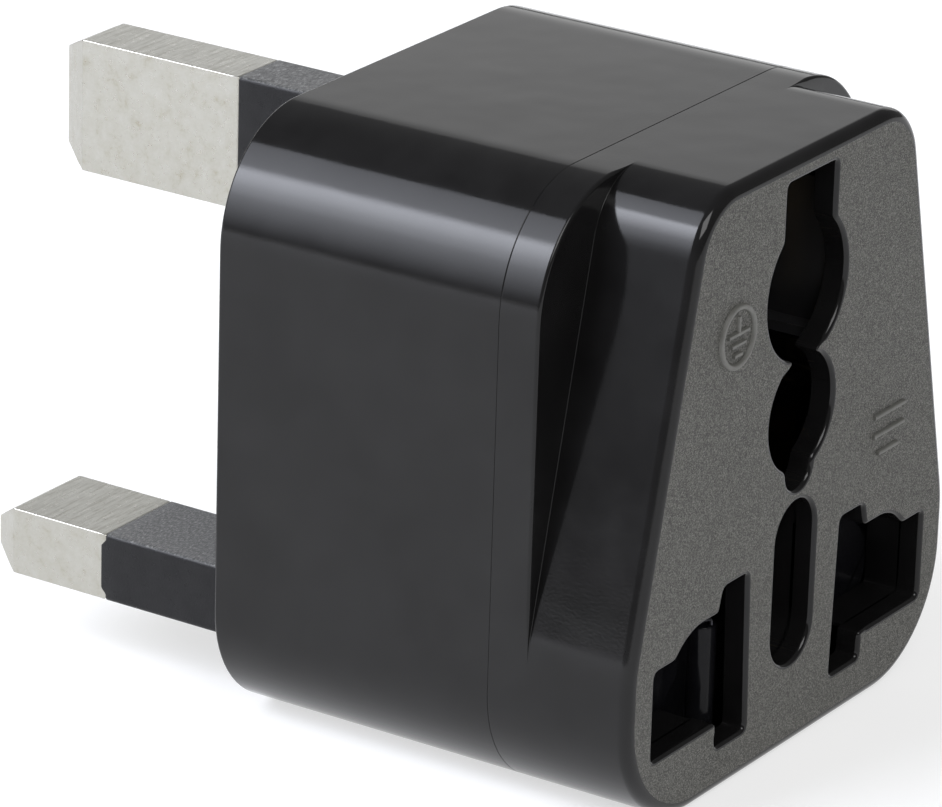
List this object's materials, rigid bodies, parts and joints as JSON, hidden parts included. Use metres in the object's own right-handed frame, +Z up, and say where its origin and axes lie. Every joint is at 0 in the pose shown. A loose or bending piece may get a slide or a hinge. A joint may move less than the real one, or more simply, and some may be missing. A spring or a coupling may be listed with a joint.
{
  "type": "travel adapter",
  "caption": "Travel plug adapter with a socket face for several plug shapes on a rounded case and rectangular earthed plug pins behind.",
  "frame": {"origin": "centre of the footprint on the surface that the flat bottom rests on", "axes": "+Z up, with the earth pin above the other two; +Y from the socket face towards the plug pins; +X to the right when looking at the socket face"},
  "size_m": [0.0342, 0.05, 0.0355],
  "materials": {
    "case": "polished black, fine matte grain on the socket face",
    "inner_plastic": "moulded black",
    "sleeve": "satin black",
    "plated_brass": "dull nickel plate over brass, lightly scuffed",
    "contact": "rolled sheet",
    "steel": "zinc plated"
  },
  "bodies": {
    "case": {"rear_shell": "case", "front_cover": "case", "contact_carrier": "inner_plastic", "earth_pin": "plated_brass", "line_pin": "plated_brass", "neutral_pin": "plated_brass", "earth_pin_sleeve": "sleeve", "line_pin_sleeve": "sleeve", "neutral_pin_sleeve": "sleeve", "earth_contact": "contact", "line_contact": "contact", "neutral_contact": "contact", "earth_rivet": "contact", "line_rivet": "contact", "neutral_rivet": "contact", "line_shutter_pin": "steel", "neutral_shutter_pin": "steel", "line_shutter_spring": "steel", "neutral_shutter_spring": "steel", "line_side_screw": "steel", "neutral_side_screw": "steel"},
    "line_door": {"line_shutter": "inner_plastic"},
    "neutral_door": {"neutral_shutter": "inner_plastic"}
  },
  "joints": [
    {"name": "line_shutter_hinge", "type": "hinge", "parent": "case", "child": "line_door", "pos_m": [-0.0052, -0.0221, 0.00635], "axis": [0, 0, -1], "range_deg": [0, 85], "stiffness_Nm_per_rad": 0.0003, "springref_deg": -17.19, "deforming": ["line_shutter_spring"]},
    {"name": "neutral_shutter_hinge", "type": "hinge", "parent": "case", "child": "neutral_door", "pos_m": [0.0052, -0.0221, 0.00635], "axis": [0, 0, 1], "range_deg": [0, 85], "stiffness_Nm_per_rad": 0.0003, "springref_deg": -17.19, "deforming": ["neutral_shutter_spring"]}
  ]
}
